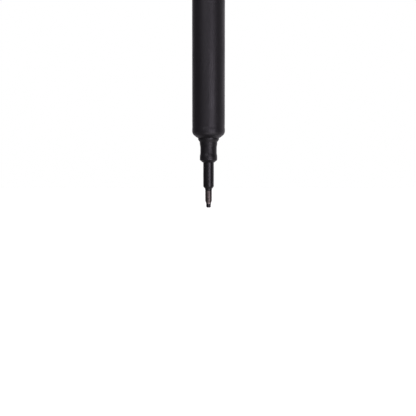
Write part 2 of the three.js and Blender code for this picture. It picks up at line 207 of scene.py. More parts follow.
def edge_wear():
    """A mask that is 1 on the ring at a height in metres and fades out over a width, with gaps."""
    tree, takes, gives = group("edge_wear", {"Height": 0, "Width": 0.0003, "Cover": 0.5}, ("Mask",))
    spot = place(tree)
    height = node(tree, "SeparateXYZ", {"Vector": spot}).outputs["Z"]
    away = maths(tree, "ABSOLUTE", maths(tree, "SUBTRACT", height, takes.outputs["Height"]))
    band = node(tree, "Math", {0: 1, 1: maths(tree, "DIVIDE", away, takes.outputs["Width"])},
                operation="SUBTRACT", use_clamp=True).outputs[0]
    patchy = node(tree, "TexNoise", {"Vector": spot, "Scale": 1400, "Detail": 4}).outputs["Fac"]
    bare = maths(tree, "SUBTRACT", 1, takes.outputs["Cover"])
    kept = node(tree, "Math", {0: maths(tree, "SUBTRACT", patchy, bare), 1: 5},
                operation="MULTIPLY", use_clamp=True).outputs[0]
    tree.links.new(maths(tree, "MULTIPLY", band, kept), gives.inputs["Mask"])
    return tree


def scuffs():
    """A mask of thin scratches that run roughly along the pen, crowded here and absent there."""
    tree, takes, gives = group("scuffs", {"Across": 3200, "Along": 110, "Cover": 0.5}, ("Mask",))
    lean = node(tree, "VectorRotate", {"Vector": place(tree), "Axis": (0, 1, 0), "Angle": math.radians(4)})
    stretch = node(tree, "CombineXYZ")
    for axis, title in (("X", "Across"), ("Y", "Across"), ("Z", "Along")):
        tree.links.new(takes.outputs[title], stretch.inputs[axis])
    factors = {0: lean.outputs["Vector"], 1: stretch.outputs["Vector"]}
    drawn = node(tree, "VectorMath", factors, operation="MULTIPLY").outputs["Vector"]
    lines = node(tree, "TexNoise", {"Vector": drawn, "Scale": 1, "Detail": 1}).outputs["Fac"]
    crowd = node(tree, "TexNoise", {"Vector": place(tree), "Scale": 120, "Detail": 2}).outputs["Fac"]
    thin = remap(tree, lines, 0.66, 0.72, 0, 1)
    there = remap(tree, maths(tree, "ADD", crowd, takes.outputs["Cover"]), 0.95, 1.1, 0, 1)
    tree.links.new(maths(tree, "MULTIPLY", thin, there), gives.inputs["Mask"])
    return tree


def dust():
    """A mask of small scattered specks."""
    tree, takes, gives = group("dust", {"Spacing": 700, "Size": 0.06}, ("Mask",))
    spot = place(tree)
    cells = node(tree, "TexVoronoi", {"Vector": spot, "Scale": takes.outputs["Spacing"], "Randomness": 1})
    speck = maths(tree, "LESS_THAN", cells.outputs["Distance"], takes.outputs["Size"])
    tree.links.new(speck, gives.inputs["Mask"])
    return tree


GRAIN = moulded_grain()
WEAR = edge_wear()
SCUFFS = scuffs()
DUST = dust()


def use(tree, effect, inputs=None):
    """Places an effect in a material, with its own values."""
    made = tree.nodes.new("ShaderNodeGroup")
    made.node_tree = effect
    for title, value in (inputs or {}).items():
        made.inputs[title].default_value = value
    return made.outputs


def blank(name, metallic=0.0, coat=0.0):
    material = bpy.data.materials.new(name)
    material.use_nodes = True
    shader = material.node_tree.nodes["Principled BSDF"]
    shader.inputs["Metallic"].default_value = metallic
    shader.inputs["Coat Weight"].default_value = coat
    return material, material.node_tree, shader


def mixed(tree, share, first, second):
    """A colour between two, each a colour or another node's output."""
    made = node(tree, "Mix", data_type="RGBA")
    for slot, value in ((0, share), (6, first), (7, second)):
        if isinstance(value, bpy.types.NodeSocket):
            tree.links.new(value, made.inputs[slot])
        else:
            made.inputs[slot].default_value = value
    return made.outputs[2]


def black_plastic(name, colour, roughness, polish, grain_depth, worn=(), scuffed=0.0):
    """Black moulded plastic. Worn is a list of (height, width) in millimetres of edges that rub, and
    scuffed is how much of the side has fine scratches."""
    material, tree, shader = blank(name)
    texture = use(tree, GRAIN)
    specks = use(tree, DUST)["Mask"]
    masks = [use(tree, WEAR, {"Height": at * MM, "Width": width * MM})["Mask"] for at, width in worn]
    wear = 0.0
    for mask in masks:
        wear = maths(tree, "MAXIMUM", mask, wear)
    pale = tuple(min(1, part * 2.6 + 0.01) for part in colour[:3]) + (1,)
    body = mixed(tree, maths(tree, "MULTIPLY", wear, 0.6), colour, pale)
    if scuffed:
        marks = use(tree, SCUFFS, {"Cover": scuffed})["Mask"]
        body = mixed(tree, maths(tree, "MULTIPLY", marks, 0.35), body, pale)
    dusty = mixed(tree, maths(tree, "MULTIPLY", specks, 0.07), body, (0.3, 0.28, 0.26, 1))
    tree.links.new(dusty, shader.inputs["Base Color"])
    rough = remap(tree, texture["Polish"], 0, 1, roughness, roughness - polish)
    smoother = maths(tree, "SUBTRACT", rough, maths(tree, "MULTIPLY", wear, 0.12))
    tree.links.new(smoother, shader.inputs["Roughness"])
    inputs = {"Height": texture["Height"], "Strength": 1.0, "Distance": grain_depth * MM}
    tree.links.new(node(tree, "Bump", inputs).outputs["Normal"], shader.inputs["Normal"])
    return material


nib_radius, nib_foot, nib_back = span("nib")
NIB_EDGE = 0.3  # rounding between the writing face and the side
INK_SLIT = 0.05  # width of the capillary channels, which show as a star in the writing face
SLIT_REACH = 0.34  # from the middle of the face to a channel's end


def nib_finish():
    """Satin black plastic, with ink drying in a paler skin just under the pipe."""
    material, tree, shader = blank("nib_ink_black")
    spot = place(tree, (1, 1, 0.4))
    skin = node(tree, "TexNoise", {"Vector": spot, "Scale": 5200, "Detail": 5}).outputs["Fac"]
    dried = remap(tree, skin, 0.4, 0.7, 0, 1)
    stained = mixed(tree, dried, (0.006, 0.006, 0.0065, 1), (0.02, 0.018, 0.019, 1))
    tree.links.new(stained, shader.inputs["Base Color"])
    tree.links.new(remap(tree, skin, 0.3, 0.7, 0.22, 0.4), shader.inputs["Roughness"])
    bump = node(tree, "Bump", {"Height": skin, "Strength": 1.0, "Distance": 0.003 * MM})
    tree.links.new(bump.outputs["Normal"], shader.inputs["Normal"])
    return material


nib = turned("writing_nib", [(nib_radius, nib_foot), (nib_radius, nib_back)], facets=64)
rounded(nib, NIB_EDGE, (nib_radius, nib_foot), steps=8)
rounded(nib, 0.08, (nib_radius, nib_back))
slit = ((-SLIT_REACH, -INK_SLIT / 2, nib_foot - 0.1), (SLIT_REACH, INK_SLIT / 2, nib_foot + 0.25))
cut_away(nib, [(*slit, turn) for turn in (15, 75, 135)])
finished(nib, "pen", "nib_plastic", nib_finish(), "nib")

# ---- nib_pipe ----
# A drawn stainless tube. Its mouth is swaged down on the nib, and its reduced tail is pushed into the
# carrier as far as the step.

pipe_radius, pipe_mouth, pipe_back = span("nib_pipe")
PIPE_WALL = 0.11
PIPE_STEP = 4.9  # height of the step that rests on the carrier
PIPE_TAIL = 0.84
LIP_TOP = 1.42  # the closed lip ends here, and the swaged cone begins
CRIMP_TOP = 1.96  # where the cone meets the full diameter
MOUTH_LIP = nib_radius + 0.05


def drawn_steel(name, colour, roughness, stretch, painted_highlight_below=None):
    """Steel with fine lines along the way it was drawn or rolled. The last argument is the height in
    millimetres below which the steel's colour is painted brighter, a painted highlight, and its roughness is
    a little lower."""
    material, tree, shader = blank(name, metallic=1.0)
    lines = node(tree, "TexNoise", {"Vector": place(tree, stretch), "Scale": 1, "Detail": 5}).outputs["Fac"]
    broad = node(tree, "TexNoise", {"Vector": place(tree), "Scale": 300, "Detail": 4}).outputs["Fac"]
    darker = tuple(part * 0.8 for part in colour[:3]) + (1,)
    metal = mixed(tree, remap(tree, lines, 0.3, 0.7, 0, 1), darker, colour)
    rough = remap(tree, broad, 0.3, 0.7, roughness - 0.03, roughness + 0.05)
    # Painted highlight: below that height the colour is mixed towards a brighter steel, and the roughness is
    # a little lower.
    if painted_highlight_below:
        height = node(tree, "SeparateXYZ", {"Vector": place(tree)}).outputs["Z"]
        bright = remap(tree, height, (painted_highlight_below - 0.1) * MM, (painted_highlight_below + 0.1) * MM, 1, 0)
        brighter = tuple(min(1, part * 2.2) for part in colour[:3]) + (1,)
        metal = mixed(tree, bright, metal, brighter)
        rough = maths(tree, "SUBTRACT", rough, maths(tree, "MULTIPLY", bright, 0.08))
    tree.links.new(metal, shader.inputs["Base Color"])
    tree.links.new(rough, shader.inputs["Roughness"])
    bump = node(tree, "Bump", {"Height": lines, "Strength": 1.0, "Distance": 0.0006 * MM})
    tree.links.new(bump.outputs["Normal"], shader.inputs["Normal"])
    return material


# The pipe's colour is painted darker than bare steel: painted shade standing in for the dark surround that it
# reflects.
# The swaged lip below 1.4 mm gets a painted highlight: a brighter colour and slightly less roughness.
pipe_steel = drawn_steel("pipe_steel", (0.168, 0.144, 0.134, 1), 0.43, (9000, 9000, 60), painted_highlight_below=1.4)
tail_bore = PIPE_TAIL - PIPE_WALL
pipe_bore = pipe_radius - PIPE_WALL
nib_pipe = turned(
    "steel_pipe",
    [
        (MOUTH_LIP, pipe_mouth),
        (MOUTH_LIP + 0.01, LIP_TOP),
        (pipe_radius, CRIMP_TOP),
        (pipe_radius, PIPE_STEP),
        (PIPE_TAIL, PIPE_STEP),
        (PIPE_TAIL, pipe_back),
        (tail_bore, pipe_back),
        (tail_bore, PIPE_STEP - PIPE_WALL),
        (pipe_bore, PIPE_STEP - 2 * PIPE_WALL),
        (pipe_bore, CRIMP_TOP),
        (nib_radius + 0.015, LIP_TOP + 0.06),
        (nib_radius + 0.015, pipe_mouth),
    ],
    facets=64,
    hollow=True,
)
rounded(nib_pipe, 0.12, (pipe_radius, CRIMP_TOP), (MOUTH_LIP + 0.01, LIP_TOP), steps=4)
rounded(nib_pipe, 0.06, (pipe_radius, PIPE_STEP), steps=4)
rounded(nib_pipe, 0.014, (MOUTH_LIP, pipe_mouth))
finished(nib_pipe, "pen", "pipe_steel", pipe_steel, "nib_pipe")

# ---- nib_carrier ----
# The slim sleeve that holds the pipe, moulded in satin black plastic. A short collar closes round the
# pipe, and a flange inside the mouthpiece keeps the sleeve from being pulled out.

flange_radius, carrier_foot, carrier_back = span("nib_carrier")
SLEEVE = 1.56
COLLAR = 1.0
COLLAR_TOP = 5.48
SLEEVE_START = 6.12
FLANGE_FRONT = 18.9
SLIP = 0.04  # gap left between pieces that fit together

sleeve_plastic = black_plastic(
    "sleeve_plastic", (0.007, 0.0066, 0.0078, 1), 0.37, 0.02, 0.003, worn=((SLEEVE_START + 0.03, 0.2),)
)
nib_carrier = turned(
    "nib_sleeve",
    [
        (PIPE_TAIL + SLIP, carrier_foot),
        (COLLAR, carrier_foot),
        (COLLAR, COLLAR_TOP),
        (SLEEVE - 0.015, SLEEVE_START),
        (SLEEVE, 9),
        (SLEEVE, FLANGE_FRONT),
        (flange_radius, FLANGE_FRONT),
        (flange_radius, carrier_back),
        (nib_radius + 0.44, carrier_back),
        (nib_radius + SLIP, carrier_back - 0.6),
        (nib_radius + SLIP, pipe_back + 0.2),
        (PIPE_TAIL + SLIP, pipe_back + 0.2),
    ],
    hollow=True,
)
rounded(nib_carrier, 0.03, (COLLAR, carrier_foot))
rounded(nib_carrier, 0.1, (COLLAR, COLLAR_TOP), steps=4)
rounded(nib_carrier, 0.1, (SLEEVE - 0.015, SLEEVE_START), steps=4)
rounded(nib_carrier, 0.08, (flange_radius, FLANGE_FRONT), (flange_radius, carrier_back))
finished(nib_carrier, "pen", "neck_plastic", sleeve_plastic, "nib_carrier")

# ---- mouthpiece ----
# The stepped neck, moulded in the same plastic. The bead at its front seals in the cap, the two ledges
# behind its waist fill the barrel's shoulder, and the holder behind them plugs into the barrel.

holder_radius, neck_front, holder_back = span("mouthpiece")
BEAD = 2.54
CHAMFER_TOP = 13.85
BEAD_TOP = 15.05
WAIST = 2.39
WAIST_FRONT = 15.75
WAIST_BACK = 17.7
LEDGE = 2.56
LEDGE_FRONT = 18.5
LEDGE_BACK = 19.1
STEP = 3.06
STEP_FRONT = 19.8
CUP = 3.42
CUP_FLOOR = 30.5
HOLDER_FRONT = 21.7
sleeve_bore = SLEEVE + SLIP
relay_bore = flange_radius + SLIP

neck_plastic = black_plastic(
    "neck_plastic", (0.008, 0.0074, 0.009, 1), 0.47, 0.02, 0.004, worn=((CHAMFER_TOP + 0.1, 0.3),)
)
mouthpiece = turned(
    "stepped_neck",
    [
        (sleeve_bore, neck_front),
        (sleeve_bore + 0.06, neck_front),
        (BEAD, CHAMFER_TOP),
        (BEAD, BEAD_TOP),
        (WAIST, WAIST_FRONT),
        (WAIST, WAIST_BACK),
        (LEDGE - 0.01, LEDGE_FRONT),
        (LEDGE, LEDGE_BACK),
        (STEP, STEP_FRONT),
        (STEP, HOLDER_FRONT),
        (holder_radius, HOLDER_FRONT + 0.15),
        (holder_radius, holder_back),
        (CUP, holder_back),
        (CUP, CUP_FLOOR),
        (relay_bore, CUP_FLOOR),
        (relay_bore, FLANGE_FRONT - 0.02),
        (sleeve_bore, FLANGE_FRONT - 0.02),
    ],
    facets=120,
    hollow=True,
)
rounded(mouthpiece, 0.08, (BEAD, CHAMFER_TOP), steps=4)
rounded(mouthpiece, 0.3, (BEAD, BEAD_TOP), (WAIST, WAIST_FRONT), steps=5)
rounded(mouthpiece, 0.35, (WAIST, WAIST_BACK), steps=5)
rounded(mouthpiece, 0.12, (LEDGE - 0.01, LEDGE_FRONT), (LEDGE, LEDGE_BACK), steps=4)
rounded(mouthpiece, 0.1, (STEP, STEP_FRONT), steps=4)
rounded(mouthpiece, 0.15, (holder_radius, holder_back), (CUP, holder_back))

AIR_HALF = 0.35  # half the width of the channels and slots that let air through
air_channel = ((holder_radius - 0.25, -AIR_HALF, HOLDER_FRONT - 0.5), (5, AIR_HALF, 40))
air_slot = ((relay_bore - 0.3, -AIR_HALF, 26), (5, AIR_HALF, 29))
cut_away(
    mouthpiece,
    [(*air_channel, 0), (*air_channel, 180), (*air_slot, 90), (*air_slot, 270)],
)
finished(mouthpiece, "pen", "neck_plastic", neck_plastic, "mouthpiece")

# ---- barrel ----
# One long moulding in matte black, with a rounded shoulder that sank a little as it cooled. Its tail is
# a touch slimmer, to take the cap.

_, barrel_front, barrel_tail = span("barrel")
LIP = 4.78  # radius of the shoulder's edge
SINK = 4.73  # radius where the side sinks behind it
SIDE = 4.76  # radius where the plain taper starts
LIP_BACK = 22.9
SINK_BACK = 23.3
SIDE_START = 25
DRAFT = 0.0013  # growth of the radius for each millimetre towards the tail
POST_STEP = 99.5  # height where the tail is reduced
BORE = 3.9
REDUCTION = 0.12
SHOULDER_HOLE = STEP + 0.06
RIM = SHOULDER_HOLE + 0.16
CONE = math.radians(38)  # slope of the shoulder's face
CORNER = 1.5

corner_height = barrel_front + (LIP - RIM) * math.tan(CONE)
corner_reach = CORNER * math.tan((math.pi / 2 - CONE) / 2)


def side_radius(height):
    return SIDE + DRAFT * (height - SIDE_START)


post_radius = side_radius(POST_STEP) - REDUCTION
rubbed = ((HOLDER_FRONT, 0.5), (108.6, 0.9), (120.0, 0.5))  # the shoulder, the cap's seat and the tail's rim
barrel_plastic = black_plastic(
    "barrel_plastic", (0.0128, 0.0114, 0.0138, 1), 0.51, 0.08, 0.013, worn=rubbed, scuffed=0.4
)
barrel = turned(
    "matte_barrel",
    [
        (SHOULDER_HOLE, barrel_front + 0.12),
        (SHOULDER_HOLE + 0.06, barrel_front),
        (RIM, barrel_front),
        (LIP, corner_height),
        (LIP, LIP_BACK),
        (SINK, SINK_BACK),
        (SIDE, SIDE_START),
        (side_radius(60), 60),
        (side_radius(POST_STEP), POST_STEP),
        (post_radius, POST_STEP + 0.35),
        (post_radius, barrel_tail),
        (BORE, barrel_tail),
        (BORE, HOLDER_FRONT + 0.1),
        (SHOULDER_HOLE, HOLDER_FRONT - 0.05),
    ],
    facets=144,
    hollow=True,
)
rounded(barrel, 0.04, (RIM, barrel_front))
rounded(barrel, corner_reach, (LIP, corner_height), steps=10)
rounded(barrel, 0.15, (LIP, LIP_BACK), (SINK, SINK_BACK), steps=4)
rounded(barrel, 0.12, (side_radius(POST_STEP), POST_STEP), (post_radius, POST_STEP + 0.35))
rounded(barrel, 0.3, (post_radius, barrel_tail), steps=5)
rounded(barrel, 0.1, (BORE, barrel_tail))
RIB_RADIUS = 3.72  # radius that the four ribs inside reach, which keep the reservoir off the wall
barrel_rib = ((RIB_RADIUS, -0.3, 38), (BORE + 0.3, 0.3, 105))
cut_away(barrel, [(*barrel_rib, turn) for turn in (0, 90, 180, 270)], operation="UNION")
finished(barrel, "pen", "barrel_plastic", barrel_plastic, "barrel")

# ---- relay_core, reservoir_core, reservoir_sheath and breather_tube ----
# What holds the ink: bundled polyester fibre, which is wrapped in clear film with a thin air tube in its
# side, and a denser rod of the same fibre that feeds the nib. All of it is soaked black.


def fibre():
    """Fibres that run along the pen, wet with ink in places."""
    material, tree, shader = blank("ink_fibre")
    strands = node(tree, "TexNoise", {"Vector": place(tree, (11000, 11000, 500)), "Scale": 1, "Detail": 5})
    wet = node(tree, "TexNoise", {"Vector": place(tree), "Scale": 90, "Detail": 3}).outputs["Fac"]
    soaked = mixed(tree, strands.outputs["Fac"], (0.004, 0.004, 0.005, 1), (0.09, 0.09, 0.1, 1))
    drier = mixed(tree, strands.outputs["Fac"], (0.03, 0.03, 0.033, 1), (0.3, 0.3, 0.31, 1))
    dryness = remap(tree, wet, 0.5, 0.62, 0, 0.6)
    tree.links.new(mixed(tree, dryness, soaked, drier), shader.inputs["Base Color"])
    tree.links.new(remap(tree, wet, 0.4, 0.6, 0.5, 0.9), shader.inputs["Roughness"])
    bump = node(tree, "Bump", {"Height": strands.outputs["Fac"], "Strength": 1.0, "Distance": 0.02 * MM})
    tree.links.new(bump.outputs["Normal"], shader.inputs["Normal"])
    return material


def milky(name, colour, roughness):
    """Natural plastic, slightly cloudy, which lets some light through."""
    material, tree, shader = blank(name)
    cloud = node(tree, "TexNoise", {"Vector": place(tree), "Scale": 260, "Detail": 4}).outputs["Fac"]
    darker = tuple(part * 0.86 for part in colour[:3]) + (1,)
    clear = remap(tree, cloud, 0.35, 0.65, 0, 1)
    tree.links.new(mixed(tree, clear, darker, colour), shader.inputs["Base Color"])
    rough = remap(tree, cloud, 0.3, 0.7, roughness - 0.06, roughness + 0.06)
    tree.links.new(rough, shader.inputs["Roughness"])
    shader.inputs["Subsurface Weight"].default_value = 0.25
    shader.inputs["Subsurface Radius"].default_value = (0.8 * MM, 0.7 * MM, 0.6 * MM)
    shader.inputs["Subsurface Scale"].default_value = 1.0
    return material


def drilled(piece, radius, x, low, high):
    """Drills a round hole along the pen, with its middle at this X and from one height to another."""
    bpy.ops.object.mode_set(mode="OBJECT")
    bpy.ops.object.select_all(action="DESELECT")
    middle = (x * MM, 0, (low + high) / 2 * MM)
    depth = (high - low) * MM
    bpy.ops.mesh.primitive_cylinder_add(vertices=64, radius=radius * MM, depth=depth, location=middle)
    combine(piece, bpy.context.object, "DIFFERENCE")


ink_fibre = fibre()
liner_plastic = milky("liner_plastic", (0.66, 0.64, 0.57, 1), 0.45)
film = milky("sheath_film", (0.42, 0.44, 0.45, 1), 0.22)

relay_radius, relay_front, relay_back = span("relay_core")
nib_socket = nib_radius + SLIP
relay_core = turned(
    "relay_rod",
    [
        (nib_socket, nib_back + SLIP),
        (nib_socket, relay_front),
        (relay_radius - 0.2, relay_front),
        (relay_radius, relay_front + 0.2),
        (relay_radius, relay_back - 0.5),
        (relay_radius - 0.5, relay_back),
    ],
)
rounded(relay_core, 0.15, (relay_radius, relay_back - 0.5), (relay_radius - 0.5, relay_back))
finished(relay_core, "pen", "ink_fibre", ink_fibre, "relay_core")

sheath_radius, sheath_front, sheath_back = span("reservoir_sheath")
SHEATH_WALL = 0.1
sheath = turned(
    "reservoir_film",
    [
        (sheath_radius, sheath_front),
        (sheath_radius, sheath_back),
        (sheath_radius - SHEATH_WALL, sheath_back),
        (sheath_radius - SHEATH_WALL, sheath_front),
    ],
    facets=144,
    hollow=True,
)
finished(sheath, "pen", "sheath_film", film, "reservoir_sheath")

breather_low, breather_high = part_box("breather_tube")
breather_radius = breather_high.y / MM
breather_middle = (breather_low.x + breather_high.x) / 2 / MM
BREATHER_BORE = 0.25
breather = turned(
    "air_tube",
    [
        (breather_radius, breather_low.z / MM),
        (breather_radius, breather_high.z / MM),
        (BREATHER_BORE, breather_high.z / MM),
        (BREATHER_BORE, breather_low.z / MM),
    ],
    facets=32,
    hollow=True,
)
breather.location.x = breather_middle * MM
finished(breather, "pen", "liner_plastic", liner_plastic, "breather_tube")

core_radius, core_front, core_back = span("reservoir_core")
reservoir = turned("fibre_reservoir", [(core_radius, core_front), (core_radius, core_back)], facets=144)
rounded(reservoir, 0.25, (core_radius, core_front), (core_radius, core_back))
drilled(reservoir, relay_radius + SLIP, 0, core_front - 1, relay_back + SLIP)
drilled(reservoir, breather_radius + SLIP, breather_middle, core_front - 1, core_back + 1)
finished(reservoir, "pen", "ink_fibre", ink_fibre, "reservoir_core")

# ---- tail_plug ----
# Pressed into the barrel's tail, in the barrel's own plastic. Its slotted skirt holds the reservoir
# forward, and the low rounded head closes the rim.

_, plug_foot, plug_top = span("tail_plug")
PLUG = BORE - SLIP
HEAD = 4.4
SKIRT_BORE = PLUG - 0.9
tail_plug = turned(
    "tail_stopper",
    [
        (SKIRT_BORE - 0.3, barrel_tail - 1.2),
        (SKIRT_BORE, barrel_tail - 1.2),
        (SKIRT_BORE, plug_foot),
        (PLUG - 0.25, plug_foot),
        (PLUG - 0.25, plug_foot + 7),
        (PLUG, plug_foot + 7.3),
        (PLUG, barrel_tail + 0.02),
        (HEAD, barrel_tail + 0.02),
        (HEAD, plug_top),
        (1.1, plug_top),
        (0.9, plug_top - 0.12),
    ],
)
rounded(tail_plug, 0.5, (HEAD, plug_top), steps=6)
rounded(tail_plug, 0.08, (HEAD, barrel_tail + 0.02))
rounded(tail_plug, 0.06, (1.1, plug_top))
skirt_slot = ((2, -0.5, plug_foot - 1), (5, 0.5, plug_foot + 5))
cut_away(tail_plug, [(*skirt_slot, turn) for turn in (0, 90, 180, 270)])
finished(tail_plug, "pen", "barrel_plastic", barrel_plastic, "tail_plug")

# ---- cap_shell ----
# The cap's outer tube, moulded like the barrel. Six ribs inside it grip the pen, a deeper step on each
# stops it, and a notch in the upper rim lets the clip's tang in.

cap_radius, cap_mouth, cap_seat = span("cap_shell")
CAP_BORE = 4.98
POST_DEPTH = 15  # how far the pen's tail goes into the cap
GRIP = 4.86  # radius that the grip ribs reach
STOP = 3.5  # radius that the stop ribs reach
RIB_END = 3  # how far the ribs run past the stop
NOTCH_FLOOR = cap_seat - 1.7
TANG = 3.6  # width of the clip where it enters the cap

cap_plastic = black_plastic(
    "cap_plastic", (0.0128, 0.0114, 0.0138, 1), 0.49, 0.08, 0.013,
    worn=((cap_mouth, 0.35), (cap_seat - 0.1, 0.2), (cap_seat + 1.8, 0.4)), scuffed=0.5,
)
cap_shell = turned(
    "cap_tube",
    [
        (CAP_BORE + 0.2, cap_mouth),
        (cap_radius, cap_mouth),
        (cap_radius, cap_mouth + 8),
        (cap_radius - 0.1, cap_seat - 0.15),
        (cap_radius - 0.25, cap_seat),
        (CAP_BORE, cap_seat),
        (CAP_BORE, cap_mouth + 0.35),
    ],
    facets=144,
    hollow=True,
)
rounded(cap_shell, 0.22, (cap_radius, cap_mouth), steps=5)
# The stop ribs are a little narrower and shorter than the grip ribs, so that no two faces share a plane.
post_stop = cap_mouth + POST_DEPTH
grip_rib = ((GRIP, -0.35, cap_mouth + 2), (CAP_BORE + 0.3, 0.35, post_stop + RIB_END))
stop_rib = ((STOP, -0.3, post_stop), (CAP_BORE + 0.4, 0.3, post_stop + RIB_END - 0.1))
turns = [30 + 60 * step for step in range(6)]
cut_away(cap_shell, [(*grip_rib, turn) for turn in turns], operation="UNION")
cut_away(cap_shell, [(*stop_rib, turn) for turn in turns], operation="UNION")
notch = ((3, -TANG / 2 - 0.3, NOTCH_FLOOR), (7, TANG / 2 + 0.3, cap_seat + 1))
cut_away(cap_shell, [(*notch, 0)])
finished(cap_shell, "cap", "cap_plastic", cap_plastic, "cap_shell")

# ---- cap_liner ----
# The inner cup of soft natural polyethylene, pressed in under the button. Its lip snaps over the neck's
# bead and keeps the nib from drying.

liner_radius, liner_mouth, liner_top = span("cap_liner")
LINER_BORE = 2.9
liner_lip = BEAD - 0.02
lip_front = liner_mouth + 1.2
lip_back = liner_mouth + 2
cap_liner = turned(
    "sealing_liner",
    [
        (LINER_BORE - 0.4, liner_top - 0.9),
        (LINER_BORE, liner_top - 1.3),
        (LINER_BORE, liner_mouth + 2.6),
        (liner_lip, lip_back),
        (liner_lip, lip_front),
        (LINER_BORE + 0.1, liner_mouth),
        (LINER_BORE + 0.5, liner_mouth),
        (LINER_BORE + 0.65, liner_mouth + 1.5),
        (LINER_BORE + 0.65, liner_top - 1.2),
        (liner_radius, liner_top - 0.9),
        (liner_radius, liner_top),
        (1, liner_top),
    ],
)
rounded(cap_liner, 0.15, (liner_lip, lip_back), (liner_lip, lip_front), steps=4)
rounded(cap_liner, 0.15, (LINER_BORE + 0.5, liner_mouth))
finished(cap_liner, "cap", "liner_plastic", liner_plastic, "cap_liner")

# ---- cap_button ----
# Snaps into the shell's end and holds the liner and the clip's tang. The three notches under its rim let
# air through the closed cap.

button_radius, button_foot, cap_end = span("cap_button")
BUTTON_STEM = 4.15
DISC = 2.6
DISC_DEPTH = 0.5
button_plug = CAP_BORE - SLIP
cap_button = turned(
    "end_button",
    [
        (1, button_foot),
        (BUTTON_STEM, button_foot),
        (BUTTON_STEM, cap_seat - 0.45),
        (button_plug, cap_seat - 0.45),
        (button_plug, cap_seat + 0.03),
        (button_radius - 0.18, cap_seat + 0.03),
        (button_radius, cap_seat + 0.2),
        (button_radius, cap_end),
        (DISC + SLIP, cap_end),
        (DISC + SLIP, cap_end - DISC_DEPTH),
        (1, cap_end - DISC_DEPTH),
    ],
    facets=144,
)
rounded(cap_button, 0.95, (button_radius, cap_end), steps=10)
rounded(cap_button, 0.04, (DISC + SLIP, cap_end))
vent = ((CAP_BORE - 1.1, -0.6, liner_top - 1), (7, 0.6, cap_seat + 0.35))
cut_away(cap_button, [(*vent, turn) for turn in (60, 180, 300)])
finished(cap_button, "cap", "cap_plastic", cap_plastic, "cap_button")

# ---- width_disc ----
# A small moulded inset in plain grey, pressed into the button. On such pens its colour tells the line
# width.


def inset_plastic():
    material, tree, shader = blank("disc_plastic")
    texture = use(tree, GRAIN, {"Grain": 7000})
    grey = mixed(tree, texture["Polish"], (0.25, 0.255, 0.265, 1), (0.31, 0.315, 0.32, 1))
    tree.links.new(grey, shader.inputs["Base Color"])
    tree.links.new(remap(tree, texture["Polish"], 0, 1, 0.46, 0.36), shader.inputs["Roughness"])
    bump = node(tree, "Bump", {"Height": texture["Height"], "Strength": 1.0, "Distance": 0.005 * MM})
    tree.links.new(bump.outputs["Normal"], shader.inputs["Normal"])
    return material


disc_radius, disc_foot, disc_top = span("width_disc")
width_disc = turned(
    "grey_inset",
    [(0.8, disc_foot), (disc_radius, disc_foot), (disc_radius, disc_top), (0.8, disc_top)],
)
rounded(width_disc, 0.08, (disc_radius, disc_top), steps=4)
finished(width_disc, "cap", "disc_plastic", inset_plastic(), "width_disc")

# ---- cap_clip ----
# A strip of spring steel, blanked with a round end, bent over the shell's rim and curled in and out again
# at its foot. Its tang sits under the button.

clip_low, clip_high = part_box("cap_clip")
THICKNESS = 0.5
FOOT_WIDTH = 3.0
tang_height = clip_high.z / MM - THICKNESS / 2
tang_start = clip_low.x / MM
arm = clip_high.x / MM - THICKNESS / 2  # distance of the arm's middle from the pen's axis
clip_end = clip_low.z / MM + THICKNESS / 4
arm_foot = cap_mouth + 12.2  # height where the arm turns in towards the cap
foot = 5.97  # distance from the axis where the strip comes closest, before it curls out again
foot_height = cap_mouth + 9.15
STUB = 0.4  # length of the flat that the strip is drawn out from
BENDS = (0.65, 0.8, 0.5)  # reach along the strip of the bends over the rim, at arm_foot and at foot
GROOVE_HALF = 0.65  # half the groove's width, and the radius of its ends
GROOVE_STEPS = ((0.1, 0.047), (0.1, 0.039), (0.15, 0.04), (0.2, 0.03))  # in from its edge, and down
GROOVE_MARGIN = 4.5  # from the bends at the arm's ends to the groove

bpy.ops.object.select_all(action="DESELECT")
bpy.ops.mesh.primitive_plane_add(size=TANG * MM, location=(tang_start * MM, 0, tang_height * MM))
cap_clip = bpy.context.object
cap_clip.name = "spring_clip"
cap_clip.data.name = "spring_clip"
bpy.ops.object.transform_apply(location=True, rotation=True, scale=True)
bpy.ops.object.mode_set(mode="EDIT")
mesh = bmesh.from_edit_mesh(cap_clip.data)
for vertex in mesh.verts:
    vertex.co.x = (tang_start + (STUB if vertex.co.x / MM > tang_start else 0)) * MM
bmesh.update_edit_mesh(cap_clip.data)


def select_across(piece, x, z):
    """In edit mode, selects the edges that lie across the strip at this place."""
    bpy.ops.mesh.select_mode(type="EDGE")
    bpy.ops.mesh.select_all(action="DESELECT")
    mesh = bmesh.from_edit_mesh(piece.data)
    for edge in mesh.edges:
        edge.select_set(all(math.hypot(v.co.x / MM - x, v.co.z / MM - z) < SAME_PLACE for v in edge.verts))
    bmesh.update_edit_mesh(piece.data)


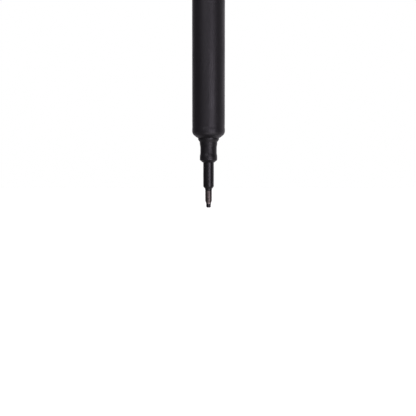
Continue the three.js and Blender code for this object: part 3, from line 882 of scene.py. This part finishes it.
# The strip's corners, as a distance from the axis, a height and a width. The width closes in a half round.
corners = [
    (arm, tang_height, TANG),
    (arm, arm_foot, FOOT_WIDTH + 0.1),
    (foot, foot_height, FOOT_WIDTH),
]
ROUND_STEPS = 7
ROUND_END = 88  # degrees, just short of closing in a point
half = FOOT_WIDTH / 2
toe = Vector((arm - 0.1 - foot, clip_end - foot_height))
toe_way = toe.normalized()
for step in range(ROUND_STEPS + 1):
    lean = math.radians(ROUND_END * step / ROUND_STEPS)
    along = toe.length - half + half * math.sin(lean)
    across = FOOT_WIDTH * math.cos(lean)
    corners.append((foot + toe_way.x * along, foot_height + toe_way.y * along, across))
x, z, width = tang_start + STUB, tang_height, TANG
select_across(cap_clip, x, z)
for next_x, next_z, next_width in corners:
    move = ((next_x - x) * MM, 0, (next_z - z) * MM)
    bpy.ops.mesh.extrude_region_move(TRANSFORM_OT_translate={"value": move})
    bpy.ops.transform.resize(value=(1, next_width / width, 1), center_override=(next_x * MM, 0, next_z * MM))
    x, z, width = next_x, next_z, next_width
for bend, (x, z, _) in zip(BENDS, corners):
    select_across(cap_clip, x, z)
    bpy.ops.mesh.bevel(offset=bend * MM, segments=7, affect="EDGES")
bpy.ops.object.mode_set(mode="OBJECT")
thick = cap_clip.modifiers.new("thickness", "SOLIDIFY")
thick.thickness = THICKNESS * MM
thick.offset = 0
thick.use_even_offset = True
bpy.ops.object.modifier_apply(modifier=thick.name)
soften = cap_clip.modifiers.new("blanked_edge", "BEVEL")
soften.width = 0.09 * MM
soften.segments = 5
soften.limit_method = "ANGLE"
soften.angle_limit = math.radians(50)
bpy.ops.object.modifier_apply(modifier=soften.name)

# A long shallow groove with round ends is coined down the outside of the arm.
groove_low = arm_foot + GROOVE_MARGIN
groove_high = tang_height - GROOVE_MARGIN
bpy.ops.object.mode_set(mode="EDIT")
bpy.ops.mesh.select_mode(type="FACE")
bpy.ops.mesh.select_all(action="DESELECT")
mesh = bmesh.from_edit_mesh(cap_clip.data)
outside = [face for face in mesh.faces if face.normal.x > 0.999]
max(outside, key=lambda face: face.calc_area()).select_set(True)
bmesh.update_edit_mesh(cap_clip.data)
bpy.ops.mesh.inset(thickness=GROOVE_HALF * MM)
mesh = bmesh.from_edit_mesh(cap_clip.data)
rim = next(face for face in mesh.faces if face.select)
middle = (groove_low + groove_high) / 2 * MM
for vertex in rim.verts:
    vertex.co.y = math.copysign(GROOVE_HALF, vertex.co.y) * MM
    vertex.co.z = (groove_high - GROOVE_HALF if vertex.co.z > middle else groove_low + GROOVE_HALF) * MM
ends = [edge for edge in rim.edges if abs(edge.verts[0].co.z - edge.verts[1].co.z) < SAME_PLACE * MM]
bmesh.ops.bisect_edges(mesh, edges=ends, cuts=11)
for vertex in rim.verts:
    turn = vertex.co.y / (GROOVE_HALF * MM) * math.pi / 2
    side = 1 if vertex.co.z > middle else -1
    vertex.co.y = GROOVE_HALF * math.sin(turn) * MM
    vertex.co.z += side * GROOVE_HALF * math.cos(turn) * MM
mesh.normal_update()
bmesh.update_edit_mesh(cap_clip.data)
for inward, down in GROOVE_STEPS:
    bpy.ops.mesh.inset(thickness=inward * MM, depth=-down * MM)
bpy.ops.object.mode_set(mode="OBJECT")
clip_steel = drawn_steel("clip_steel", (0.5, 0.49, 0.48, 1), 0.34, (3500, 9000, 160))
finished(cap_clip, "clip", "clip_steel", clip_steel, "cap_clip", smooth=20)

# The large faces decide the shading, so that the narrow bevels beside them don't tilt it.
even = cap_clip.modifiers.new("even_shading", "WEIGHTED_NORMAL")
even.keep_sharp = True
bpy.ops.object.modifier_apply(modifier=even.name)

# ---- studio ----
# A pale floor under the nib, a surround that looks white but lights the pen mostly from behind, two soft
# boxes in front of the pen, and two dim ones aimed at the cap.

FLOOR_GAP = 0.02 * MM  # keeps the floor from touching the nib's flat end

bpy.ops.object.select_all(action="DESELECT")
bpy.ops.mesh.primitive_plane_add(size=8, location=(0, 0, -FLOOR_GAP))
floor = bpy.context.object
floor.name = "floor"
floor_paint, tree, shader = blank("pale_floor")
shader.inputs["Base Color"].default_value = (0.9, 0.9, 0.9, 1)
shader.inputs["Roughness"].default_value = 0.9
shader.inputs["Emission Color"].default_value = (1, 1, 1, 1)
shader.inputs["Emission Strength"].default_value = 0.85
floor.data.materials.append(floor_paint)
floor.visible_diffuse = False
floor.visible_glossy = False

WINDOW_SIDE = 18  # degrees that the bright surround is turned from straight behind the pen to its right
LIT_TABLE = Vector((0.3, -0.6, -0.74))  # direction of the table's brightest part, seen from the nib

world = bpy.data.worlds.new("studio")
bpy.context.scene.world = world
world.use_nodes = True
tree = world.node_tree
backdrop = tree.nodes["Background"]
backdrop.inputs["Color"].default_value = (1, 1, 1, 1)
where = node(tree, "TexCoord").outputs["Generated"]
turn = node(tree, "VectorRotate", {"Vector": where, "Axis": (0, 0, 1), "Angle": math.radians(WINDOW_SIDE)})
direction = node(tree, "SeparateXYZ", {"Vector": turn.outputs["Vector"]})
behind = remap(tree, direction.outputs["Y"], 0.2, 1.0, 0.105, 1.05)
beneath = remap(tree, direction.outputs["Z"], -0.05, -0.6, 0.0, 0.2)
facing = node(tree, "VectorMath", {0: where, 1: LIT_TABLE.normalized()}, operation="DOT_PRODUCT")
glow = remap(tree, facing.outputs["Value"], 0.72, 1.0, 0.0, 1.3)
strip = remap(tree, node(tree, "SeparateXYZ", {"Vector": where}).outputs["Y"], 0.93, 0.99, 0.0, 1.2)
underfoot = remap(tree, direction.outputs["Z"], -0.97, -0.8, 0.4, 1.0)  # the pen's own shadow lies there
around = maths(tree, "ADD", maths(tree, "MAXIMUM", behind, beneath), glow)
brightness = maths(tree, "ADD", maths(tree, "MULTIPLY", around, underfoot), strip)
surround = node(tree, "Background", {"Color": (1.01, 0.955, 1.03, 1), "Strength": brightness})
seen = node(tree, "LightPath").outputs["Is Camera Ray"]
shown = node(tree, "MixShader", {0: seen, 1: surround.outputs[0], 2: backdrop.outputs[0]})
tree.links.new(shown.outputs[0], tree.nodes["World Output"].inputs["Surface"])


def soft_box(name, place, aim, size, power, colour, spread=180):
    """A rectangular light that the camera doesn't see, aimed from a place at another, both in metres.
    Spread is the angle it shines through, in degrees."""
    light = bpy.data.lights.new(name, "AREA")
    light.spread = math.radians(spread)
    light.shape = "RECTANGLE"
    light.size, light.size_y = size
    light.energy = power
    light.color = colour
    box = bpy.data.objects.new(name, light)
    bpy.context.scene.collection.objects.link(box)
    box.location = place
    box.rotation_euler = (Vector(aim) - Vector(place)).to_track_quat("-Z", "Y").to_euler()
    box.visible_camera = False


soft_box("low_right_box", (0.09, -0.20, 0.0), (0, 0, 0.01), (0.12, 0.10), 0.14, (1.03, 0.94, 1.1))
soft_box("high_left_box", (-0.105, -0.23, 0.17), (0, 0, 0.09), (0.17, 0.20), 0.21, (1.0, 0.95, 1.06))
soft_box("cap_right_box", (0.27, -0.13, 0.19), (0, 0, 0.19), (0.18, 0.14), 0.05, (1.0, 0.97, 1.02), spread=16)
soft_box("cap_back_box", (-0.13, 0.28, 0.19), (0, 0, 0.19), (0.18, 0.14), 0.055, (1.0, 0.97, 1.02), spread=16)

# ---- camera ----
# Level with the nib and square on to the pen, from far enough off to keep the sides straight. It looks
# at the nib, so the tail is out of view above.

FIELD = 121.2  # width of the view at the pen, in millimetres
DISTANCE = 1.0  # from the camera to the nib, in metres
ELEVATION = math.radians(0.4)
AIM = Vector((-0.155 * MM, 0, -0.12 * MM))

camera = bpy.data.cameras.new("camera")
camera.sensor_width = 36
camera.lens = camera.sensor_width * DISTANCE / (FIELD * MM)
camera_stand = bpy.data.objects.new("camera", camera)
bpy.context.scene.collection.objects.link(camera_stand)
camera_stand.location = AIM + Vector((0, -math.cos(ELEVATION), math.sin(ELEVATION))) * DISTANCE
camera_stand.rotation_euler = (math.radians(90) - ELEVATION, 0, 0)
bpy.context.scene.camera = camera_stand
bpy.context.scene.view_settings.view_transform = "Standard"
